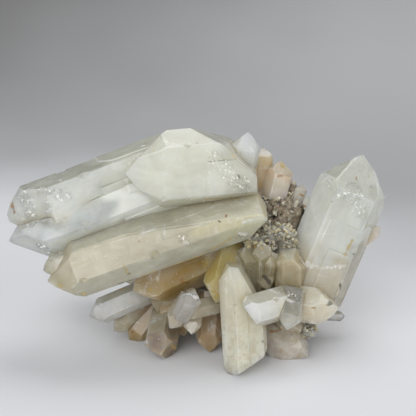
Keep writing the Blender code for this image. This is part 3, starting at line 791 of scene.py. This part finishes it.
def quartz_finish():
    """Milky to clear quartz: soft clouds, growth lines, veils, crackle, rust and ochre films; rims painted
    lighter as painted light, painted glints and sparkle specks, and dark spots of painted shade.
    """
    made, g = new_material("milky_quartz")
    place = g.node("ShaderNodeTexCoord", output="Object")
    growth = g.node("ShaderNodeUVMap", {"uv_map": "growth"})
    stone = g.attribute("stone")
    haze = stone.other("Alpha")
    films = g.attribute("film")
    parts = g.node("ShaderNodeSeparateColor", {}, {"Color": films})
    rust, ochre, frost, dark_shade = parts, parts.other("Green"), parts.other("Blue"), films.other("Alpha")
    worn = g.node("ShaderNodeSeparateColor", {}, {"Color": g.attribute("wear")})
    crackle, rim, joint = worn, worn.other("Green"), worn.other("Blue")

    clouds = g.noise(place, 70, 4.0, 0.55, 0.5)
    wisps = g.noise(growth, 1.0, 4.0, 0.6, 0.8, (2.0, 0.6, 1))
    mottle = g.noise(place, 380, 4.0, 0.62)
    grain = g.noise(place, 1300, 3.0, 0.6)
    lines = g.noise(growth, 1.0, 3.0, 0.6, 0.0, (1.2, 30, 1))
    streaks = g.noise(growth, 1.0, 3.0, 0.6, 0.1, (14, 0.6, 1))
    fold = g.noise(place, 48, 5.0, 0.6, 1.6) - 0.5
    veils = fold.math("ABSOLUTE", fold).rise(0.0, 0.02, 1.0, 0.0) * clouds.rise(0.45, 0.6)
    shards = g.node("ShaderNodeTexVoronoi", {}, {"Vector": growth, "Scale": 15.0, "Randomness": 1.0}, "Color")
    shard = g.node("ShaderNodeSeparateColor", {}, {"Color": shards})
    # Painted sparkle: sparse tiny white specks stand in for glints.
    flakes = g.node("ShaderNodeTexVoronoi", {}, {"Vector": place, "Scale": 520.0}, "Distance")
    painted_specks = flakes.rise(0.10, 0.16, 1.0, 0.0) * shard.other("Blue").rise(0.72, 0.8)

    # Films, including the painted shade spots, and the painted sparkle specks are broken up by the mottle, so
    # that none keeps a drawn outline.
    ragged = (mottle - 0.5) * 1.3
    rust = (rust + ragged * 1.3).rise(0.55, 1.0) * rust.rise(0.05, 0.5)
    ochre = (ochre + ragged * 1.5).rise(0.3, 1.2) * ochre.rise(0.02, 0.6)
    frost = (frost + ragged * 2.0).rise(0.3, 1.2) * frost.rise(0.02, 0.6)
    # Painted shade: the dark marks become near-black spots where crevices and refraction look dark.
    dark_shade = (dark_shade + ragged * 0.7).rise(0.35, 0.9)
    crackle = (crackle + (wisps - 0.5) * 1.4).rise(0.25, 0.75) * crackle.rise(0.0, 0.3)
    # Painted glints: white cells in the crackle zones stand in for sparkle from small fractures.
    painted_glint = crackle * shard.rise(0.72, 0.98)
    threads = g.noise(growth, 1.0, 2.0, 0.5, 0.3, (24, 0.3, 1)).rise(0.60, 0.72)

    low_side = g.node("ShaderNodeSeparateXYZ", {}, {"Vector": place}, "Z").rise(0.0, 0.035, 1.0, 0.0)
    tint = stone
    # In these blends, the rim blend is painted light, edges lighter where the crystal is thin; the glint and
    # speck blends are painted highlights; the dark blend is painted shade.
    for share, colour in (
            (clouds.rise(0.35, 0.7) * 0.18, (0.92, 0.93, 0.90)),
            (wisps.rise(0.35, 0.62, 0.16, 0.0), (0.62, 0.60, 0.48)),
            (rim * haze * 0.12, (0.86, 0.84, 0.72)),
            (joint * clouds.rise(0.3, 0.6) * 0.45, (0.44, 0.34, 0.15)),
            (low_side * mottle.rise(0.35, 0.7) * 0.5, (0.46, 0.30, 0.10)),
            (veils * 0.4, (0.95, 0.95, 0.93)),
            (threads * wisps.rise(0.4, 0.6) * 0.35, (0.94, 0.94, 0.90)),
            (painted_glint * 0.4, (0.96, 0.96, 0.95)),
            (painted_specks * 0.7, (0.95, 0.95, 0.94)),
            (ochre * 0.8, (0.56, 0.40, 0.11)),
            (rust * 0.85, (0.28, 0.14, 0.04)),
            (frost * 0.5, (0.95, 0.95, 0.94)),
            (dark_shade * 0.85, (0.07, 0.06, 0.04))):
        tint = g.blend(share, tint, colour)

    height = lines * 0.45 + streaks * 0.3 + mottle * 0.5 + shard.other("Green") * crackle * 1.6
    bump = g.node("ShaderNodeBump", {}, {"Height": height, "Strength": 0.35, "Distance": 0.0004})
    shine = (grain.rise(0.35, 0.7, 0.05, 0.22) + frost * 0.25 + ochre * 0.1).least(0.6)

    clear = principled(g, Base_Color=(0.98, 0.985, 0.965, 1), Roughness=shine * 0.4, IOR=QUARTZ_IOR,
                       Transmission_Weight=1.0, Normal=bump)
    milky = principled(g, Base_Color=tint, Roughness=shine, IOR=QUARTZ_IOR, Subsurface_Weight=1.0,
                       Subsurface_Radius=(1.0, 0.97, 0.82), Subsurface_Scale=0.011, Normal=bump)
    cloudy = haze + (clouds - 0.5) * 0.45 + (wisps - 0.5) * 0.15 - rim * 0.05
    cloudy = (cloudy - crackle * shard.other("Green") * 0.17).rise(0.0, 0.95, 0.05, 0.82)
    share = cloudy.most(rust).most(ochre * 0.85).most(frost * 0.7).most(dark_shade * 0.9).most(painted_glint)
    surface = g.node("ShaderNodeMixShader", {}, {0: share, 1: clear, 2: milky})
    depth = g.node("ShaderNodeVolumeAbsorption", {}, {"Color": (0.88, 0.88, 0.74, 1), "Density": 26.0})
    g.node("ShaderNodeOutputMaterial", {}, {"Surface": surface, "Volume": depth})
    return made


def rock_finish():
    """Iron-stained host rock: grey-brown grains, hollows painted near black as painted shade, ochre bits and
    pale quartz crumbs.
    """
    made, g = new_material("host_rock")
    place = g.node("ShaderNodeTexCoord", output="Object")
    hollow = g.attribute("hollow", "Fac")
    grains = g.noise(place, 700, 5.0, 0.65)
    patches = g.noise(place, 160, 4.0, 0.6, 0.6)
    crumbs = g.node("ShaderNodeTexVoronoi", {}, {"Vector": place, "Scale": 800.0}, "Distance")
    colour = g.node("ShaderNodeValToRGB", {"stops": ((0.28, (0.11, 0.085, 0.055)), (0.45, (0.27, 0.22, 0.15)),
                                                     (0.60, (0.40, 0.34, 0.26)), (0.8, (0.58, 0.53, 0.45)))},
                    {"Fac": grains})
    colour = g.blend(patches.rise(0.60, 0.74) * 0.5, colour, (0.44, 0.25, 0.09))
    pale = crumbs.rise(0.12, 0.26, 1.0, 0.0) * patches.rise(0.38, 0.55, 1.0, 0.0)
    colour = g.blend(pale * 0.9, colour, (0.80, 0.78, 0.72))
    # Painted shade: the deeper hollows are painted near black.
    colour = g.blend((hollow + (grains - 0.5) * 0.6).rise(0.34, 0.66) * 0.95, colour, (0.02, 0.016, 0.012))
    height = grains * 0.7 + crumbs * 0.5
    bump = g.node("ShaderNodeBump", {}, {"Height": height, "Strength": 0.8, "Distance": 0.0012})
    surface = principled(g, Base_Color=colour, Roughness=grains.rise(0.3, 0.8, 0.9, 0.5), Normal=bump)
    g.node("ShaderNodeOutputMaterial", {}, {"Surface": surface})
    return made


def finished(name, mesh, material):
    """A piece of the cluster with its mesh and material, riding on the part's one body."""
    made = placed(name, mesh)
    mesh.materials.clear()
    mesh.materials.append(material)
    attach(made, "root")
    return made


def build_crystals():
    specs = list(LARGE + SMALL + BEHIND)
    for seed, patch in enumerate(PATCHES, 11):
        specs += patch_crystals(patch, seed)
    chance = random.Random(3)
    cluster = add_object("quartz_cluster", lump(CORE_CENTRE, CORE_SIZE, 4.0, 2, 1))
    combine(cluster, [whole_crystal(spec, number, chance) for number, spec in enumerate(specs, 1)], "UNION")
    keep_main_body(cluster)
    paint_films(cluster)
    paint_growth(cluster, specs)
    return cluster, specs


def build_rock():
    """The host rock's own shape, remeshed finely and eaten into by cracks and hollows."""
    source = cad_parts["matrix_rock"]
    solid = bmesh.new()
    solid.from_mesh(source.data)
    bmesh.ops.remove_doubles(solid, verts=solid.verts, dist=1e-6)
    carrier = placed("rock_remesh", as_mesh("rock_source", solid))
    step = carrier.modifiers.new("Remesh", "REMESH")
    step.mode, step.voxel_size = "VOXEL", ROCK_GRAIN
    fine = applied(carrier, step)
    bpy.data.objects.remove(carrier)
    fine.name = "host_rock"
    normals = [vert.normal.copy() for vert in fine.vertices]
    hollows = []
    for vert, normal in zip(fine.vertices, normals):
        place = vert.co / MM
        rough = 0.9 + 2.3 * noise.fractal(place * 0.22, 0.7, 2.2, 4) + 0.6 * noise.noise(place * 1.3)
        depth = min(max(rough, 0), DEEPEST_HOLLOW)
        vert.co -= normal * MM * depth
        hollows.append(depth / DEEPEST_HOLLOW)
    # How deep each place lies, stored for the painted shade in the hollows.
    fine.attributes.new("hollow", "FLOAT", "POINT").data.foreach_set("value", hollows)
    return fine


# Places covered with fine druse: the centre's x, y and z, and the reach, in mm.
DRUSE_SPOTS = (
    (23, -21, 50, 6.0), (33, -12, 47, 9), (27, -8, 55, 8), (38, -2, 58, 8), (46, -28, 8, 8), (42, -16, 14, 9),
    (4, 18, 28, 13), (0, 14, 50, 12), (30, 24, 40, 12),
)


def druse_point():
    """One small quartz point a millimetre across: a hexagonal prism with a six-sided tip, one body."""
    solid = bmesh.new()
    angles = [n * math.pi / 3 for n in range(6)]
    rings = [[solid.verts.new((0.5 * MM * math.cos(angle), 0.5 * MM * math.sin(angle), z * MM))
              for angle in angles] for z in (-0.6, 0.7)]
    tip = solid.verts.new((0.08 * MM, 0.05 * MM, 1.35 * MM))
    solid.faces.new(reversed(rings[0]))
    for n in range(6):
        solid.faces.new((rings[0][n], rings[0][(n + 1) % 6], rings[1][(n + 1) % 6], rings[1][n]))
        solid.faces.new((rings[1][n], rings[1][(n + 1) % 6], tip))
    return placed("druse_point", as_mesh("druse_point", solid))


def druse_covers(place):
    return any((place - Vector(spot)).length <= reach for *spot, reach in DRUSE_SPOTS)


def druse_ground(cluster_mesh, rock_mesh, specs):
    """The parts of the rock and of the druse crystals' surfaces that the fine druse grows on."""
    solid = bmesh.new()
    solid.from_mesh(rock_mesh)
    solid.faces.ensure_lookup_table()
    on_rock = len(solid.faces)
    solid.from_mesh(cluster_mesh)
    marks = solid.faces.layers.int["crystal"]
    cover = solid.faces.layers.float.new("cover")
    bare = []
    for number, face in enumerate(solid.faces):
        place = face.calc_center_median() / MM + CENTRE
        grown = number < on_rock or face[marks] == 0 or specs[face[marks] - 1].name.startswith("druse")
        face[cover] = 0.12 if number < on_rock else 1.0
        if not (grown and druse_covers(place)):
            bare.append(face)
    bmesh.ops.delete(solid, geom=bare, context="FACES")
    return placed("druse_ground", as_mesh("druse_ground", solid))


def druse_tree(material):
    """Scatters small points over a surface, each leaning and sized by chance, as one mesh."""
    tree = bpy.data.node_groups.new("fine_druse", "GeometryNodeTree")
    for name, kind in (("Ground", "Geometry"), ("Point", "Object"), ("Points per square metre", "Float"),
                       ("Smallest", "Float"), ("Largest", "Float"), ("Lean", "Float"), ("Seed", "Int")):
        tree.interface.new_socket(name, in_out="INPUT", socket_type=f"NodeSocket{kind}")
    tree.interface.new_socket("Druse", in_out="OUTPUT", socket_type="NodeSocketGeometry")
    g = Graph(tree)

    def by_chance(kind, least, most, number):
        values = {"Min": least, "Max": most, "Seed": number}
        return g.node("FunctionNodeRandomValue", {"data_type": kind}, values)

    given = g.node("NodeGroupInput")
    seed = given.other("Seed")
    cover = g.node("GeometryNodeInputNamedAttribute", {"data_type": "FLOAT"}, {"Name": "cover"})
    spread = g.node("GeometryNodeDistributePointsOnFaces", {"distribute_method": "RANDOM"},
                    {"Mesh": given, "Density": given.other("Points per square metre") * cover, "Seed": seed})
    shape = g.node("GeometryNodeObjectInfo", {}, {"Object": given.other("Point")}, "Geometry")
    lean = given.other("Lean")
    low, high = [g.node("ShaderNodeCombineXYZ", {}, {"X": lean * way, "Y": lean * way, "Z": 3.14 * way})
                 for way in (-1.0, 1.0)]
    tilt = g.node("FunctionNodeEulerToRotation", {}, {0: by_chance("FLOAT_VECTOR", low, high, seed)})
    turn = g.node("FunctionNodeRotateRotation", {"rotation_space": "LOCAL"},
                  {"Rotation": spread.other("Rotation"), "Rotate By": tilt})
    size = by_chance("FLOAT", given.other("Smallest"), given.other("Largest"), seed + 1.0)
    grown = g.node("GeometryNodeInstanceOnPoints", {},
                   {"Points": spread, "Instance": shape, "Rotation": turn, "Scale": size})
    shade = by_chance("FLOAT", 0.0, 1.0, seed + 2.0)
    toned = g.node("GeometryNodeStoreNamedAttribute", {"data_type": "FLOAT", "domain": "INSTANCE"},
                   {"Geometry": grown, "Name": "shade", "Value": shade})
    real = g.node("GeometryNodeRealizeInstances", {}, {"Geometry": toned})
    done = g.node("GeometryNodeSetMaterial", {}, {"Geometry": real, "Material": material})
    g.node("NodeGroupOutput", {}, {"Druse": done})
    return tree


def build_druse(cluster_mesh, rock_mesh, specs, material):
    point, ground = druse_point(), druse_ground(cluster_mesh, rock_mesh, specs)
    tree = druse_tree(material)
    step = ground.modifiers.new("fine_druse", "NODES")
    step.node_group = tree
    sizes = {"Point": point, "Points per square metre": 4.2e5, "Smallest": 0.6, "Largest": 1.9, "Lean": 0.6,
             "Seed": 7}
    for item in tree.interface.items_tree:
        if item.item_type == "SOCKET" and item.in_out == "INPUT" and item.name in sizes:
            step[item.identifier] = sizes[item.name]
    mesh = applied(ground, step)
    for helper in (ground, point):
        bpy.data.objects.remove(helper)
    mesh.name = "fine_druse"
    return mesh


def druse_finish():
    """Fine druse: clear white points that glitter, some stained grey-olive and brown towards their feet."""
    made, g = new_material("fine_druse")
    place = g.node("ShaderNodeTexCoord", output="Object")
    shade = g.attribute("shade", "Fac")
    patches = g.noise(place, 120, 3.0, 0.6)
    grain = g.noise(place, 900, 3.0, 0.6)
    tint = g.blend(shade, (0.84, 0.82, 0.72), (0.50, 0.43, 0.26))
    tint = g.blend(patches.rise(0.5, 0.68) * 0.7, tint, (0.40, 0.33, 0.20))
    tint = g.blend(grain.rise(0.55, 0.75) * 0.35, tint, (0.92, 0.92, 0.90))
    bump = g.node("ShaderNodeBump", {}, {"Height": grain, "Strength": 0.3, "Distance": 0.0002})
    clear = principled(g, Base_Color=(0.97, 0.97, 0.95, 1), Roughness=0.03, IOR=QUARTZ_IOR,
                       Transmission_Weight=1.0, Normal=bump)
    milky = principled(g, Base_Color=tint, Roughness=grain.rise(0.3, 0.7, 0.05, 0.3), IOR=QUARTZ_IOR,
                       Subsurface_Weight=1.0, Subsurface_Radius=(1.0, 0.95, 0.8), Subsurface_Scale=0.0012,
                       Normal=bump)
    surface = g.node("ShaderNodeMixShader", {}, {0: shade.rise(0.0, 0.7, 0.45, 0.95), 1: clear, 2: milky})
    g.node("ShaderNodeOutputMaterial", {}, {"Surface": surface})
    return made


def build_stage():
    """A pale paper sweep: flat floor, one smooth bend and a wall, painted greyer towards the back and darker
    up the wall, with soft folds painted in, all painted shade.
    """
    profile = [(-1.2, 0.0), (0.22, 0.0)]
    profile += [(0.22 + 0.5 * math.sin(math.radians(a)), 0.5 - 0.5 * math.cos(math.radians(a)))
                for a in range(6, 91, 6)]
    profile += [(0.72, 1.6)]
    mesh = bpy.data.meshes.new("paper_sweep")
    verts = [(x, y, z) for x in (-1.6, 1.6) for y, z in profile]
    count = len(profile)
    mesh.from_pydata(verts, [], [(n, n + count, n + count + 1, n + 1) for n in range(count - 1)])
    mesh.polygons.foreach_set("use_smooth", [True] * len(mesh.polygons))
    sweep = placed("paper_sweep", mesh)
    made, g = new_material("pale_paper")
    place = g.node("ShaderNodeTexCoord", output="Object")
    fibres = g.noise(place, 900, 3.0)
    shade = g.noise(place, 5, 2.0)
    parts = g.node("ShaderNodeSeparateXYZ", {}, {"Vector": place})
    across, back = parts, parts.other("Y")
    # Painted shade: the paper is painted greyer towards the back, sooner on the right, and darker up the
    # wall, more so on the left, and soft folds are painted in by noise.
    fold = (shade - 0.5) * 0.2
    paper_with_shade = g.blend((back + across * 0.5 + fold).rise(0.03, 0.25), (0.76, 0.76, 0.777), (0.38, 0.38, 0.386))
    paper_with_shade = g.blend((back - across * 0.7 + fold).rise(0.24, 0.60), paper_with_shade, (0.17, 0.168, 0.166))
    bump = g.node("ShaderNodeBump", {}, {"Height": fibres, "Strength": 0.1, "Distance": 0.0003})
    surface = principled(g, Base_Color=paper_with_shade, Roughness=0.75, Normal=bump)
    g.node("ShaderNodeOutputMaterial", {}, {"Surface": surface})
    mesh.materials.append(made)


def add_light(name, place, target, size, power, colour=(1, 1, 1)):
    lamp = bpy.data.lights.new(name, "AREA")
    lamp.shape, lamp.size, lamp.energy, lamp.color = "SQUARE", size, power, colour
    made = placed(name, lamp)
    made.location = place
    made.rotation_euler = (Vector(target) - Vector(place)).to_track_quat("-Z", "Y").to_euler()


def add_camera():
    lens = bpy.data.cameras.new("photo_view")
    lens.lens, lens.sensor_width = VIEW_LENS, SENSOR
    lens.clip_start, lens.clip_end = 0.01, 20
    camera = placed("photo_view", lens)
    camera.location = photo_ray((VIEW_WIDTH / 2, VIEW_WIDTH / 2))[0]
    camera.rotation_euler = (math.pi / 2 - VIEW_LIFT, 0, 0)
    bpy.context.scene.camera = camera


def main():
    add_camera()
    build_stage()
    crystals, specs = build_crystals()
    quartz = quartz_finish()
    mesh = crystals.data
    bpy.data.objects.remove(crystals)
    cluster = finished("quartz_cluster", mesh, quartz)
    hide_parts("quartz_crystals")

    rock_mesh = build_rock()
    rock = finished("rock_between_crystals", rock_mesh, rock_finish())
    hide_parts("matrix_rock")

    points = druse_finish()
    druse = finished("fine_druse", build_druse(mesh, rock_mesh, specs, points), points)

    add_light("high_soft_light", (0.16, 0.30, 0.85), (0, 0, 0.03), 0.5, 2.8)
    add_light("front_soft_light", (-0.25, -0.9, 0.55), (0, 0, 0.05), 0.5, 0.9)
    world = bpy.data.worlds.new("soft_room")
    world.use_nodes = True
    g = Graph(world.node_tree)
    towards = g.node("ShaderNodeTexCoord", output="Generated")
    window = g.vector("DOT_PRODUCT", towards, (-0.45, -0.70, 0.56), output="Value").rise(0.86, 0.94)
    door = g.vector("DOT_PRODUCT", towards, (0.80, -0.52, 0.30), output="Value").rise(0.90, 0.96)
    sky = g.node("ShaderNodeBackground", {}, {"Color": (0.96, 0.98, 1.0, 1),
                                              "Strength": window * 2.0 + door * 1.5 + 0.40})
    g.node("ShaderNodeOutputWorld", {}, {"Surface": sky})
    bpy.context.scene.world = world
    bpy.context.scene.view_settings.view_transform = "Standard"
    bpy.context.scene.cycles.sample_clamp_indirect = 4.0


main()
